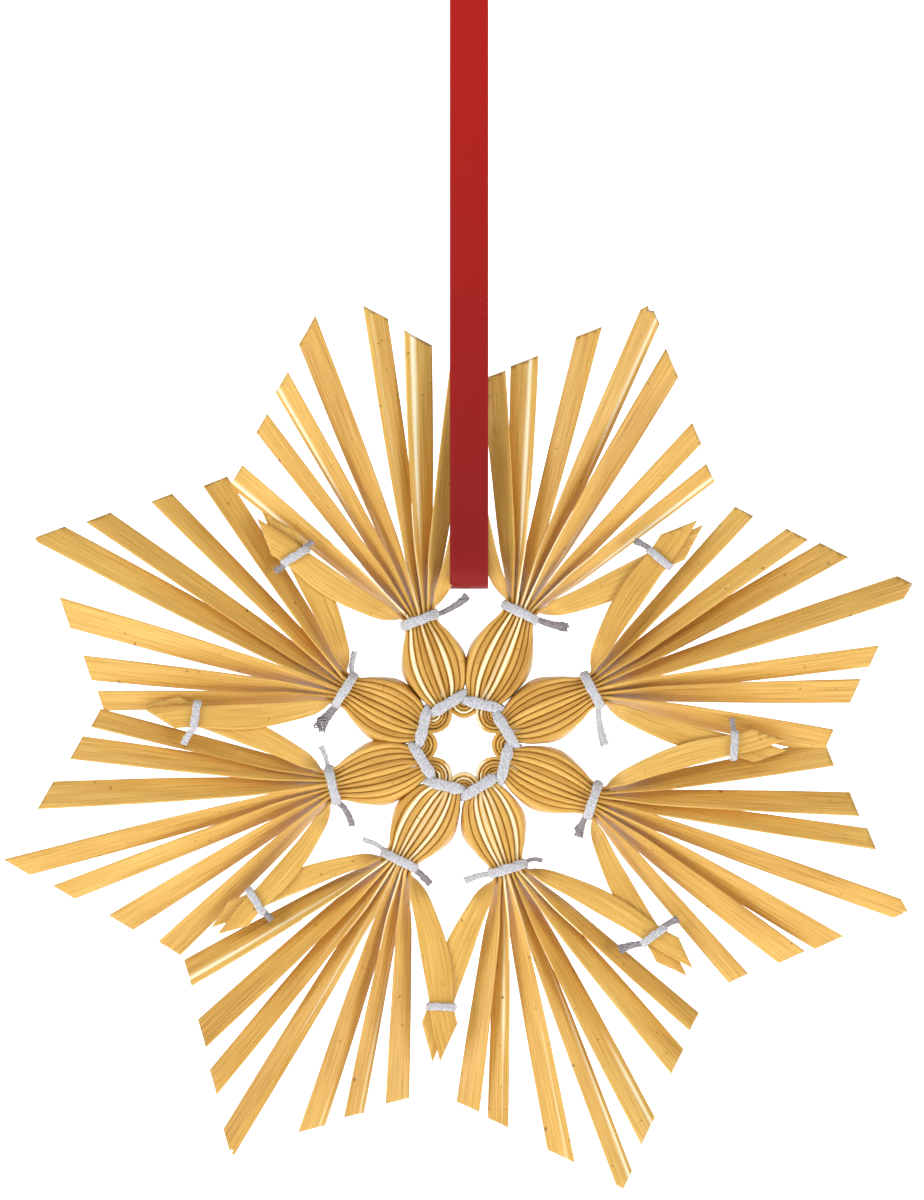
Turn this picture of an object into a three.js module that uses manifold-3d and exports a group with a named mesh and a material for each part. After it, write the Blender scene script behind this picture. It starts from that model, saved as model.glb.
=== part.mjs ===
// A straw star hung on a ribbon loop, in millimetres. The star stands in the XZ plane with its
// front towards -Y. The origin is at the inside top of the ribbon loop, where the star is hung up.
//
// Thirty-six pressed straws are each bent double round the open middle. One thread lashes them
// into a ring, eight ties gather them into petals, and beyond each petal they open as a fan. The
// two ends of the innermost straw of each bend are tied together between the fans.
import * as THREE from 'three';
import Module from 'manifold-3d';
import { mergeVertices } from 'three/addons/utils/BufferGeometryUtils.js';

const wasm = await Module();
wasm.setup();

const FAN_STEP = 45;                 // degrees from one fan to the next
const RIBBON_DROP = 100;             // from the inside top of the ribbon loop to its fold
const FOLD_HEIGHT = 23.8;            // the fold of the ribbon above the middle of the star
const STAR_SIDESTEP = -0.8;          // the star hangs a little to one side of its ribbon
const POINT_RADIUS = 74.2;           // from the middle to the point of each fan
const POINT_SLOPE = 42.5;            // degrees between a fan's middle line and its cut outline
const STRAW_WIDTH = 3.9;
const WIDTH_SPREAD = 0.55;           // the straws are this much wider or narrower
const CLEARANCE = 0.24;              // kept between neighbouring straws

// The open middle: each group of straws turns in nested bends, centred on the lashed ring.
const RING_RADIUS = 7.0;
const RING_DROP = 0.6;               // the ring sits a little below the middle of the star
const BEND_RADIUS = 0.6;             // of the innermost straw of a group
const BEND_STEP = 0.5;               // from one nested straw to the next
const BEND_THICKNESS = 0.3;
const BEND_WIDTH = 0.86;             // what a straw keeps of its width round the bend
const BEND_STATIONS = [1 / 3, 2 / 3, 1];

// The petals, between the ring and the petal ties.
const OUTER_SLOT = 4;                // a petal's strands lie in slots -4 to 4
const KNOT_PITCH = 0.6;              // from strand to strand under a tie
const KNOT_THICKNESS = 0.34;
const BELLY_SWELL = 0.5;             // what the pitch gains in the belly of a petal
const BELLY_THICKNESS = 0.7;
const PETAL_LEAN = 3.5;              // degrees that each strand leans on the one inside it
const PETAL_STATIONS = [0.22, 0.5, 0.8, 1];
const PINCH_SLOTS = OUTER_SLOT + 1.2; // a tie's round section would be closed this far out

// The fans, beyond the petal ties.
const FAN_SPREAD = 9.6;              // degrees between neighbouring straws
const SWAY = 1.8;                    // degrees that a straw may stray from its even place
const LEAST_OPENING = 6;             // where a tied straw lies closer than this, it lies in front
const TURN_LENGTH = 0.95;            // from the middle of a tie to where a strand turns off
const FAN_THICKNESS = 0.42;
const FAN_STATIONS = [0, 2.4, 5.2, 9.5]; // beyond the tie, before the cut end
const FREE_WIDTH = [0.8, 6];         // a free straw leaves with this share, full this far on
const TIED_DEPTHS = [-2.0, -1.15];   // the crossing straws lie before the fans, the first in front
const TIED_END = 6.1;                // of a tied straw, beyond its side tie
const TIED_END_CUT = 52;             // degrees off square
const TIED_BOW = 1.0;
const TIED_STATIONS = [0, 0.2, 0.45, 0.75, 0.95, 1.05]; // as shares of the way to the side tie
const TIED_WIDTH = [0.64, 9];        // a tied straw leaves with this share, full this far on
const TIED_PINCH = 0.88;             // and keeps this share under its side tie
const LAID_SHARE = 0.6;              // it lies flat from here on

// Each fan, in turn from the right: where its tie slipped to (degrees and radius), where its
// middle straws point and where its outline is cut to, against an even spacing, and the tails of
// its tie, as degrees off the petal's line and length.
const FIRST_FAN = 20;
const FANS = [
  { name: 'right_upper', slip: 1.7, knot: 21.5, aim: -0.7, cut: -0.7, tails: [[-103, 6.3]] },
  { name: 'top_right', slip: 1.5, knot: 21.9, aim: 1.8, cut: 1.8, tails: [[-82, 5.3]] },
  { name: 'top_left', slip: 0, knot: 20.1, aim: 0, cut: -3.6, tails: [[-75, 5.8]] },
  { name: 'left_upper', slip: 1.8, knot: 20.2, aim: -0.4, cut: -0.4, tails: [[79, 4.8], [-72, 3.7]] },
  { name: 'left_lower', slip: -1.4, knot: 21.6, aim: -5.5, cut: -5.5, tails: [[104, 4.6], [-84, 3.8]] },
  { name: 'bottom_left', slip: -3.3, knot: 21.1, aim: -4.4, cut: -4.4, tails: [[79, 3.5], [-83, 4.0]] },
  { name: 'bottom_right', slip: -0.9, knot: 21.0, aim: -0.4, cut: -0.4, tails: [[-92, 4.4], [75, 3.0]] },
  { name: 'right_lower', slip: 0.4, knot: 22.1, aim: 4.0, cut: 4.0, tails: [[-84, 3.5]] },
];

// Each group of straws bends round between fan n and fan n + 1. The groups on the slant have one
// straw more, so every petal gets nine strands. `tie` is the radius of the side tie beyond it,
// which has its own tails.
const GROUPS = [
  { name: 'upper_right', straws: 5, tie: 41.7, tails: [[110, 3.0]] },
  { name: 'top', straws: 4, tie: 41.8, tails: [] },
  { name: 'upper_left', straws: 5, tie: 39.0, tails: [[80, 2.2], [-95, 1.8]] },
  { name: 'left', straws: 4, tie: 42.0, tails: [[65, 3.2]] },
  { name: 'lower_left', straws: 5, tie: 40.9, tails: [[95, 2.0]] },
  { name: 'bottom', straws: 4, tie: 41.5, tails: [] },
  { name: 'lower_right', straws: 5, tie: 42.3, tails: [[-120, 4.2], [75, 2.8]] },
  { name: 'right', straws: 4, tie: 42.1, tails: [[100, 2.4]] },
];

// The threads: the ring lashing, which goes round twice, and the ties.
const THREAD = 0.34;                 // thickness of a thread laid flat
const LASH_IN = 7.1;                 // the lashing comes up nearer the middle
const LASH_OUT = 7.85;               // and goes down further out
const LASH_DEPTH = 2.5;
const LASH_WIDTH = 1.7;
const PETAL_TIE = { wide: 2.95, deep: 2.45, round: 3, band: 1.7, thickness: 0.42, sides: 12 };
const SIDE_TIE = { wide: 2.52, deep: 1.04, round: 4, band: 1.3, thickness: 0.36, sides: 8 };
const TAIL_RADII = [0.42, 0.62];     // a tail frays and widens to its end

// The ribbon, six millimetres wide, wedged between the two tied straws at the top.
const RIBBON_WIDTH = 6;
const RIBBON_THICKNESS = 0.3;
const RIBBON_HALF_GAP = 3.3;         // its legs pass before and behind the star

const straw = new THREE.MeshStandardMaterial({ color: 0xdcae5c, roughness: 0.45, metalness: 0 });
const cotton = new THREE.MeshStandardMaterial({ color: 0xe9e6ea, roughness: 0.9, metalness: 0 });
const satin = new THREE.MeshStandardMaterial({ color: 0xa6241f, roughness: 0.4, metalness: 0 });

const ornament = new THREE.Group();
const star = new THREE.Group();
star.position.set(STAR_SIDESTEP, 0, -RIBBON_DROP - FOLD_HEIGHT);
ornament.add(star);

const radians = THREE.MathUtils.degToRad;
const lerp = THREE.MathUtils.lerp;
const BACK = new THREE.Vector3(0, 1, 0);

// A direction in the plane of the star, counted from +X towards +Z.
function heading(degrees) {
  return new THREE.Vector3(Math.cos(radians(degrees)), 0, Math.sin(radians(degrees)));
}

function quarterTurn(direction) {
  return new THREE.Vector3(-direction.z, 0, direction.x);
}

function headingOf(direction) {
  return THREE.MathUtils.radToDeg(Math.atan2(direction.z, direction.x));
}

function along(start, ...steps) {
  const point = start.clone();
  for (const [direction, length] of steps) {
    point.addScaledVector(direction, length);
  }
  return point;
}

// Uneven numbers from -1 to 1, the same every time: for a straw's width and for its direction.
function scatter(group, nest) {
  return Math.sin(2.3 * group + 1.7 * nest + 2.4);
}

function stray(fan, slot) {
  return Math.sin(2.7 * fan + 4.1 * slot);
}

// ---- The frame of each fan and of each group ----
const ringMiddle = new THREE.Vector3(0, 0, -RING_DROP);

const fans = FANS.map((fan, index) => {
  const even = FIRST_FAN + FAN_STEP * index;
  const knot = heading(even + fan.slip).multiplyScalar(fan.knot);
  const aim = heading(even + fan.aim).multiplyScalar(POINT_RADIUS);
  const point = heading(even + fan.cut).multiplyScalar(POINT_RADIUS);
  const root = along(ringMiddle, [heading(FAN_STEP * (index + 0.5)), RING_RADIUS]);
  const petal = knot.clone().sub(root);
  const length = petal.length();
  petal.normalize();
  const axis = headingOf(aim.clone().sub(knot));
  const across = quarterTurn(petal);
  return { ...fan, index, knot, aim, point, root, petal, length, axis, across };
});

const groups = GROUPS.map((group, index) => {
  const first = fans[index];
  const second = fans[(index + 1) % fans.length];
  const out = heading(FAN_STEP * (index + 1));
  const centre = along(ringMiddle, [out, RING_RADIUS]);
  const sideTie = first.aim.clone().add(second.aim).setLength(group.tie);
  first.sideTies = { ...first.sideTies, [1]: sideTie };
  second.sideTies = { ...second.sideTies, [-1]: sideTie };
  return { ...group, index, first, second, out, centre, sideTie };
});

// ---- Straws ----
// Where a strand comes out of its petal tie.
function fanStart(fan, slot) {
  return along(fan.knot, [fan.petal, TURN_LENGTH], [fan.across, slot * KNOT_PITCH]);
}

// The heading that a strand takes beyond its petal tie: the outer ones run to the side ties.
function course(fan, slot) {
  if (Math.abs(slot) === OUTER_SLOT) {
    return headingOf(fan.sideTies[Math.sign(slot)].clone().sub(fanStart(fan, slot)));
  }
  return fan.axis + slot * FAN_SPREAD - SWAY * stray(fan.index, slot);
}

// The pitch of a fan's strands, each against its inner neighbour, `run` beyond the petal tie.
function fanPitches(fan, hand, run) {
  return [1, 2, 3, 4].map((slot) => {
    const turned = hand * (course(fan, hand * slot) - course(fan, hand * (slot - 1)));
    const opening = Math.max(LEAST_OPENING, (turned + 540) % 360 - 180);
    return KNOT_PITCH + radians(opening) * run;
  });
}

// How steeply a strand stands from the plane of the star. Close together they stand on edge; as
// the pitch grows, each strand leans on the one inside it, and the middle one lies down last.
function steepness(place, pitches, half, thickness) {
  const room = thickness + CLEARANCE;
  let angle = Math.PI / 2;
  for (let step = 0; step < Math.max(1, place); step += 1) {
    const closest = Math.min(pitches[step], pitches[step + 1] ?? Infinity);
    const flattest = Math.asin(Math.min(1, room / closest));
    const give = Math.max(0, pitches[step] * Math.sin(angle) - room) / half;
    angle = Math.max(angle - Math.asin(Math.min(1, give)), flattest);
  }
  if (place > 0) {
    return angle;
  }
  const reach = (pitches[0] - half * Math.cos(angle) - 1.5 * room) / half;
  const flattest = Math.asin(Math.min(1, room / pitches[0]));
  return Math.acos(THREE.MathUtils.clamp(reach, 0, Math.cos(flattest)));
}

function fanSteepness(fan, slot, run, half) {
  const hands = slot === 0 ? [-1, 1] : [Math.sign(slot)];
  const angles = hands.map((hand) => steepness(
    Math.abs(slot),
    fanPitches(fan, hand, run),
    half,
    FAN_THICKNESS,
  ));
  return Math.max(...angles);
}

// A strand in the plan of its petal, from the ring (0) to the tie (1).
function petalStation(fan, slot, width, portion) {
  const swell = Math.sin(Math.PI * portion) ** 1.2;
  const length = fan.length - TURN_LENGTH;
  const pitch = KNOT_PITCH + BELLY_SWELL * swell;
  const gathered = width * Math.sqrt(1 - (slot / PINCH_SLOTS) ** 2);
  return {
    at: along(fan.root, [fan.petal, length * portion], [fan.across, slot * pitch]),
    wide: lerp(width * 0.9, gathered, portion ** 3),
    thickness: lerp(KNOT_THICKNESS, BELLY_THICKNESS, swell ** 2),
    steep: radians(90 - PETAL_LEAN * Math.abs(slot) * swell ** 2),
  };
}

// How far a straw edge that starts at `from` runs in `direction` to the cut outline of its fan.
function reachOutline(fan, from, direction) {
  const middle = fan.point.clone().normalize();
  const side = quarterTurn(middle);
  const slope = Math.tan(radians(POINT_SLOPE));
  const ahead = from.dot(middle);
  const aside = from.dot(side);
  const reaches = [1, -1].map((hand) => {
    const gain = hand * direction.dot(side) + slope * direction.dot(middle);
    return (slope * (POINT_RADIUS - ahead) - hand * aside) / gain;
  });
  return Math.min(...reaches);
}

function freeStraw(fan, slot, width) {
  const direction = heading(course(fan, slot));
  const start = fanStart(fan, slot);
  const length = reachOutline(fan, start, direction);
  const stations = [...FAN_STATIONS, length].map((run) => {
    const wide = width * lerp(FREE_WIDTH[0], 1, Math.min(1, run / FREE_WIDTH[1]));
    return {
      at: along(start, [direction, run]),
      wide,
      thickness: run === 0 ? KNOT_THICKNESS : FAN_THICKNESS,
      steep: fanSteepness(fan, slot, run, wide / 2),
    };
  });
  const side = quarterTurn(direction);
  stations.at(-1).trim = (aside) => {
    return reachOutline(fan, along(start, [side, aside]), direction) - length;
  };
  return stations;
}

// The innermost straw's ends cross between two fans and are tied where they cross. The end from
// the group's first fan lies in front.
function tiedStraw(fan, group, slot, width) {
  const hand = Math.sign(slot);
  const start = fanStart(fan, slot);
  const direction = heading(course(fan, slot));
  const side = quarterTurn(direction);
  const span = start.distanceTo(group.sideTie);
  const depth = hand > 0 ? TIED_DEPTHS[0] : TIED_DEPTHS[1];
  const stations = TIED_STATIONS.map((portion) => {
    const run = portion * span;
    const spread = lerp(TIED_WIDTH[0], 1, Math.min(1, run / TIED_WIDTH[1]));
    const bow = hand * TIED_BOW * Math.sin(Math.PI * Math.min(1, portion)) ** 0.7;
    const wide = width * spread * (portion > 0.9 ? TIED_PINCH : 1);
    const laid = Math.min(1, portion / LAID_SHARE);
    return {
      at: along(start, [direction, run], [side, bow], [BACK, depth * laid]),
      wide,
      thickness: run === 0 ? KNOT_THICKNESS : FAN_THICKNESS,
      steep: fanSteepness(fan, slot, run, wide / 2) * (1 - laid ** 3),
    };
  });
  stations.push({
    at: along(group.sideTie, [direction, TIED_END], [BACK, depth]),
    wide: width,
    thickness: FAN_THICKNESS,
    steep: 0,
    trim: (aside) => -hand * aside * Math.tan(radians(TIED_END_CUT)),
  });
  return stations;
}

function halfStraw(group, fan, nest, width) {
  const hand = fan === group.first ? 1 : -1;
  const slot = hand * (OUTER_SLOT - nest);
  const radius = BEND_RADIUS + BEND_STEP * nest;
  const lastAngle = 90 - 4 * nest;
  const stations = BEND_STATIONS.map((portion) => {
    const angle = radians(lastAngle * portion);
    return {
      at: along(
        group.centre,
        [group.out, -radius * Math.cos(angle)],
        [quarterTurn(group.out), -hand * radius * Math.sin(angle)],
      ),
      wide: width * BEND_WIDTH,
      thickness: BEND_THICKNESS,
      steep: Math.PI / 2,
    };
  });
  for (const portion of PETAL_STATIONS) {
    stations.push(petalStation(fan, slot, width, portion));
  }
  if (nest === 0) {
    return stations.concat(tiedStraw(fan, group, slot, width));
  }
  return stations.concat(freeStraw(fan, slot, width));
}

// The two halves of a straw twist opposite ways. Both of its wide sides are split along the
// diagonals that run outwards with the twist, which keeps the straw its full thickness.
function alignDiagonals(geometry) {
  const corners = geometry.attributes.position;
  const faces = geometry.index;
  for (let face = 0; face < faces.count; face += 6) {
    const [a, b, d, , c] = faces.array.slice(face, face + 6);
    const half = corners.getZ(a) + corners.getZ(c);
    const slant = (corners.getX(d) - corners.getX(b)) * (corners.getZ(d) - corners.getZ(b));
    if (slant * half > 0) {
      faces.array.set([a, b, c, a, c, d], face);
    }
  }
}

// One pressed straw: a long thin block laid along its stations. `steep` turns its wide side from
// the plane of the star, and `trim` slants its cut end.
function strawMesh(group, nest) {
  const width = STRAW_WIDTH + WIDTH_SPREAD * scatter(group.index, nest);
  const radius = BEND_RADIUS + BEND_STEP * nest;
  const apex = {
    at: along(group.centre, [group.out, -radius]),
    wide: width * BEND_WIDTH,
    thickness: BEND_THICKNESS,
    steep: Math.PI / 2,
  };
  const inward = halfStraw(group, group.first, nest, width).reverse();
  const outward = halfStraw(group, group.second, nest, width);
  const stations = [...inward, apex, ...outward];
  const last = stations.length - 1;

  const geometry = new THREE.BoxGeometry(1, 1, 1, 1, 1, last);
  const corners = geometry.attributes.position;
  alignDiagonals(geometry);
  for (let index = 0; index < corners.count; index += 1) {
    const number = Math.round((corners.getZ(index) + 0.5) * last);
    const station = stations[number];
    const before = stations[Math.max(0, number - 1)].at;
    const after = stations[Math.min(last, number + 1)].at;
    const run = after.clone().sub(before).setY(0).normalize();
    const inside = quarterTurn(run).negate();
    const wideOffset = corners.getX(index) * station.wide;
    const thinOffset = corners.getY(index) * station.thickness;
    const aside = wideOffset * Math.cos(station.steep) - thinOffset * Math.sin(station.steep);
    const deep = wideOffset * Math.sin(station.steep) + thinOffset * Math.cos(station.steep);
    const corner = along(station.at, [inside, aside], [BACK, deep]);
    if (station.trim) {
      const outwards = number === 0 ? -1 : 1;
      corner.addScaledVector(run, outwards * station.trim(-outwards * aside));
    }
    corners.setXYZ(index, corner.x, corner.y, corner.z);
  }
  const mesh = new THREE.Mesh(geometry, straw);
  mesh.name = `straw_${group.name}_${nest + 1}`;
  return mesh;
}

for (const group of groups) {
  for (let nest = 0; nest < group.straws; nest += 1) {
    star.add(strawMesh(group, nest));
  }
}

// ---- Threads ----

// A closed band through its stations, each with the directions of its thickness and its width.
function closedBand(stations) {
  const count = stations.length;
  const geometry = new THREE.TorusGeometry(1, 0.5, 4, count);
  const corners = geometry.attributes.position;
  for (let index = 0; index < corners.count; index += 1) {
    const east = corners.getX(index);
    const north = corners.getY(index);
    const turn = Math.atan2(north, east) / (2 * Math.PI);
    const station = stations[(Math.round(turn * count) + count) % count];
    const corner = Math.atan2(corners.getZ(index), Math.hypot(east, north) - 1) + Math.PI / 4;
    const thin = Math.SQRT1_2 * Math.cos(corner) * station.thickness;
    const wide = Math.SQRT1_2 * Math.sin(corner) * station.width;
    const place = along(station.at, [station.outward, thin], [station.across, wide]);
    corners.setXYZ(index, place.x, place.y, place.z);
  }
  return geometry;
}

function solidOf(geometry) {
  const bare = geometry.clone();
  bare.deleteAttribute('normal');
  bare.deleteAttribute('uv');
  const merged = mergeVertices(bare);
  return new wasm.Manifold(new wasm.Mesh({
    numProp: 3,
    vertProperties: merged.attributes.position.array,
    triVerts: new Uint32Array(merged.index.array),
  }));
}

function geometryOf(solid) {
  const { vertProperties, triVerts } = solid.getMesh();
  const geometry = new THREE.BufferGeometry();
  geometry.setAttribute('position', new THREE.BufferAttribute(vertProperties, 3));
  geometry.setIndex(new THREE.BufferAttribute(triVerts, 1));
  return geometry;
}

// A tie round a bundle of straws that runs along `line` degrees, with its loose tails.
function tieMesh(name, size, centre, line, tails) {
  const side = heading(line + 90);
  const power = 2 / size.round;
  const stations = Array.from({ length: size.sides }, (unused, index) => {
    const turn = 2 * Math.PI * index / size.sides;
    const aside = Math.sign(Math.cos(turn)) * Math.abs(Math.cos(turn)) ** power;
    const deep = Math.sign(Math.sin(turn)) * Math.abs(Math.sin(turn)) ** power;
    const outward = along(new THREE.Vector3(), [side, Math.cos(turn)], [BACK, Math.sin(turn)]);
    return {
      at: along(
        centre,
        [side, aside * (size.wide + size.thickness / 2)],
        [BACK, deep * (size.deep + size.thickness / 2)],
      ),
      outward,
      across: heading(line).negate(),
      thickness: size.thickness,
      width: size.band,
    };
  });
  let tie = solidOf(closedBand(stations));
  for (const [angle, length] of tails) {
    const hand = Math.sign(angle);
    const direction = heading(line + angle);
    const sunk = size.thickness / 2;
    const start = along(centre, [side, hand * (size.wide + size.thickness - sunk)]);
    const tail = new THREE.CylinderGeometry(TAIL_RADII[1], TAIL_RADII[0], length + sunk, 4);
    tail.translate(0, (length + sunk) / 2, 0);
    tail.applyQuaternion(new THREE.Quaternion().setFromUnitVectors(BACK, direction));
    tail.translate(start.x, start.y, start.z);
    tie = tie.add(solidOf(tail));
  }
  const mesh = new THREE.Mesh(geometryOf(tie), cotton);
  mesh.name = name;
  return mesh;
}

for (const fan of fans) {
  star.add(tieMesh(`petal_tie_${fan.name}`, PETAL_TIE, fan.knot, headingOf(fan.petal), fan.tails));
}

const tiedDepth = (TIED_DEPTHS[0] + TIED_DEPTHS[1]) / 2;
for (const group of groups) {
  const centre = along(group.sideTie, [BACK, tiedDepth]);
  const line = headingOf(group.sideTie);
  star.add(tieMesh(`side_tie_${group.name}`, SIDE_TIE, centre, line, group.tails));
}

// One station of the ring lashing, at a gap between petals or at the middle of a petal.
function lashStation(angle, radius, deep, width, outward) {
  return {
    at: along(ringMiddle, [heading(angle), radius], [BACK, deep]),
    outward,
    across: heading(angle),
    thickness: THREAD,
    width,
  };
}

// The thread crosses the front of a petal clockwise, from the inside of one gap to the outside of
// the next, and passes behind the petal after it. It goes round twice, so that each petal is
// crossed once in front, and its ends are joined behind the last petal.
function lashing() {
  const front = BACK.clone().negate();
  const narrow = LASH_WIDTH * 0.4;
  const middle = (LASH_IN + LASH_OUT) / 2 * Math.cos(radians(FAN_STEP / 2));
  const turning = LASH_DEPTH - THREAD / 2;
  const crossings = [7, 5, 3, 1, 6, 4, 2, 0];
  const stations = [];
  for (const petal of crossings) {
    const up = FAN_STEP * (petal + 1);
    const over = up - FAN_STEP / 2;
    const down = up - FAN_STEP;
    const behind = down - FAN_STEP / 2;
    const upwards = quarterTurn(heading(up)).add(front).normalize();
    const downwards = quarterTurn(heading(down)).negate().add(front).normalize();
    stations.push(
      lashStation(up, LASH_IN, turning, narrow, upwards),
      lashStation(up, LASH_IN, -turning, narrow, upwards),
      lashStation(over, middle, -LASH_DEPTH, LASH_WIDTH, front),
      lashStation(down, LASH_OUT, -turning, narrow, downwards),
      lashStation(down, LASH_OUT, turning, narrow, downwards),
    );
    if (petal > 1) {
      stations.push(lashStation(behind, middle, LASH_DEPTH, LASH_WIDTH, front));
    }
    if (petal === 1) {
      stations.push(
        lashStation(behind, middle, 2 * LASH_DEPTH - turning + THREAD, narrow, front),
        lashStation(behind - FAN_STEP, middle, LASH_DEPTH, LASH_WIDTH, front),
      );
    }
  }
  return closedBand(stations);
}

const ring = new THREE.Mesh(lashing(), cotton);
ring.name = 'ring_lashing';
star.add(ring);

// ---- Ribbon ----

// The loop hangs from the origin: round the top, down behind the star, round the fold and up.
function ribbonLoop() {
  const middle = RIBBON_HALF_GAP + RIBBON_THICKNESS / 2;
  const stations = [];
  const arcSteps = 8;
  for (const [height, start] of [[-RIBBON_HALF_GAP, 0], [RIBBON_HALF_GAP - RIBBON_DROP, 180]]) {
    for (let step = 0; step <= arcSteps; step += 1) {
      const turn = radians(start + 180 * step / arcSteps);
      const outward = new THREE.Vector3(0, Math.cos(turn), Math.sin(turn));
      stations.push({
        at: along(new THREE.Vector3(0, 0, height), [outward, middle]),
        outward,
        across: new THREE.Vector3(1, 0, 0),
        thickness: RIBBON_THICKNESS,
        width: RIBBON_WIDTH,
      });
    }
  }
  return closedBand(stations);
}

const ribbon = new THREE.Mesh(ribbonLoop(), satin);
ribbon.name = 'ribbon';
ornament.add(ribbon);

export default ornament;
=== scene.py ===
import math

import bmesh
import bpy
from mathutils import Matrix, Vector, noise


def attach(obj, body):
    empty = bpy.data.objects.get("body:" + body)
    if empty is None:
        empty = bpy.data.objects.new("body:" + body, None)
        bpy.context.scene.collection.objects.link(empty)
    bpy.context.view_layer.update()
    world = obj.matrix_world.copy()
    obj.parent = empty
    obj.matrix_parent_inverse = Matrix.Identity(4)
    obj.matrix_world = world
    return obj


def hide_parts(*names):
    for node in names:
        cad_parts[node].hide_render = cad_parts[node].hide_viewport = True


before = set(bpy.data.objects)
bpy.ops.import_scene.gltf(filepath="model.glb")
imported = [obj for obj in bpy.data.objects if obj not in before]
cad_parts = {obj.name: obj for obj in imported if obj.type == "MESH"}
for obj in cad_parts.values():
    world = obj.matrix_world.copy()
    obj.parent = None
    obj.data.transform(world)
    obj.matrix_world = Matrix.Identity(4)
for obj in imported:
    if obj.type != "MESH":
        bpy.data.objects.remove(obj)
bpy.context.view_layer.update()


# ---- The room ----
# The star hangs in front of a pale paper sweep, a floor that curves up into a wall. Broad soft
# lamps light it from the front, and the camera looks straight at it through a long lens.
MM = 0.001
VIEW_CENTRE = Vector((-1.1, 0, -101.8)) * MM
VIEW_HEIGHT = 187.2 * MM
CAMERA_DISTANCE = 1.2
SENSOR_HEIGHT = 36

camera = bpy.data.objects.new("camera", bpy.data.cameras.new("camera"))
camera.data.sensor_fit = "VERTICAL"
camera.data.sensor_height = SENSOR_HEIGHT
camera.data.lens = SENSOR_HEIGHT * CAMERA_DISTANCE / VIEW_HEIGHT
camera.data.clip_start = 0.05
camera.location = VIEW_CENTRE - Vector((0, CAMERA_DISTANCE, 0))
camera.rotation_euler = (math.radians(90), 0, 0)
bpy.context.scene.collection.objects.link(camera)
bpy.context.scene.camera = camera
bpy.context.scene.view_settings.view_transform = "Standard"


def soft_lamp(name, place, size, power):
    """A square lamp that faces the middle of the star."""
    lamp = bpy.data.objects.new(name, bpy.data.lights.new(name, "AREA"))
    lamp.data.shape = "SQUARE"
    lamp.data.size = size
    lamp.data.energy = power
    lamp.location = VIEW_CENTRE + Vector(place)
    lamp.rotation_euler = Vector(place).to_track_quat("Z", "Y").to_euler()
    bpy.context.scene.collection.objects.link(lamp)


soft_lamp("left_lamp", (-0.95, -0.55, 0.1), 0.5, 5.5)
soft_lamp("right_lamp", (0.95, -0.6, -0.1), 0.5, 4.5)
soft_lamp("front_lamp", (-0.2, -1.3, 0.7), 0.5, 3.5)

sky = bpy.data.worlds.new("studio")
bpy.context.scene.world = sky
sky.use_nodes = True
sky.node_tree.nodes["Background"].inputs["Color"].default_value = (0.97, 0.98, 1, 1)
sky.node_tree.nodes["Background"].inputs["Strength"].default_value = 0.3


def new_material(name):
    """An empty node material: its nodes, a linking function and its shader."""
    material = bpy.data.materials.new(name)
    material.use_nodes = True
    nodes = material.node_tree.nodes
    return material, nodes, material.node_tree.links.new, nodes["Principled BSDF"]


def colour_steps(nodes, *steps):
    """A colour ramp with a colour at each of its places."""
    ramp = nodes.new("ShaderNodeValToRGB")
    while len(ramp.color_ramp.elements) < len(steps):
        ramp.color_ramp.elements.new(1)
    for element, (place, colour) in zip(ramp.color_ramp.elements, steps):
        element.position = place
        element.color = (*colour, 1)
    return ramp


def finished(name, mesh, material):
    """A piece from its bmesh, with smooth faces."""
    for face in mesh.faces:
        face.smooth = True
    data = bpy.data.meshes.new(name)
    mesh.to_mesh(data)
    mesh.free()
    data.materials.append(material)
    piece = bpy.data.objects.new(name, data)
    bpy.context.scene.collection.objects.link(piece)
    return piece


ROOM_WIDTH = 2.6
FLOOR_HEIGHT = -0.46
WALL_HEIGHT = 1.6
WALL_PLACE = 1.9
SWEEP_RADIUS = 0.2

paper, paper_nodes, paper_link, paper_shader = new_material("paper_sweep")
paper_grain = paper_nodes.new("ShaderNodeTexNoise")
paper_grain.inputs["Scale"].default_value = 6
paper_tones = colour_steps(paper_nodes, (0.3, (0.93, 0.93, 0.93)), (0.7, (0.95, 0.95, 0.95)))
paper_link(paper_grain.outputs["Fac"], paper_tones.inputs["Fac"])
paper_link(paper_tones.outputs["Color"], paper_shader.inputs["Base Color"])
paper_shader.inputs["Roughness"].default_value = 0.9
paper_shader.inputs["Specular IOR Level"].default_value = 0.1
paper_shader.inputs["Emission Color"].default_value = (1, 1, 1, 1)
paper_shader.inputs["Emission Strength"].default_value = 0.95

sweep = bmesh.new()
bmesh.ops.create_grid(sweep, x_segments=1, y_segments=1, size=ROOM_WIDTH / 2)
bmesh.ops.translate(
    sweep, verts=sweep.verts, vec=(0, WALL_PLACE - ROOM_WIDTH / 2, FLOOR_HEIGHT)
)
foot = [e for e in sweep.edges if all(v.co.y > 0 for v in e.verts)]
raised = bmesh.ops.extrude_edge_only(sweep, edges=foot)["geom"]
bmesh.ops.translate(
    sweep, verts=[v for v in raised if isinstance(v, bmesh.types.BMVert)], vec=(0, 0, WALL_HEIGHT)
)
bmesh.ops.bevel(
    sweep, geom=foot, offset=SWEEP_RADIUS, offset_type="OFFSET", segments=24, profile=0.5,
    affect="EDGES", material=-1,
)
bmesh.ops.recalc_face_normals(sweep, faces=sweep.faces)
finished("paper_sweep", sweep, paper)


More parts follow.
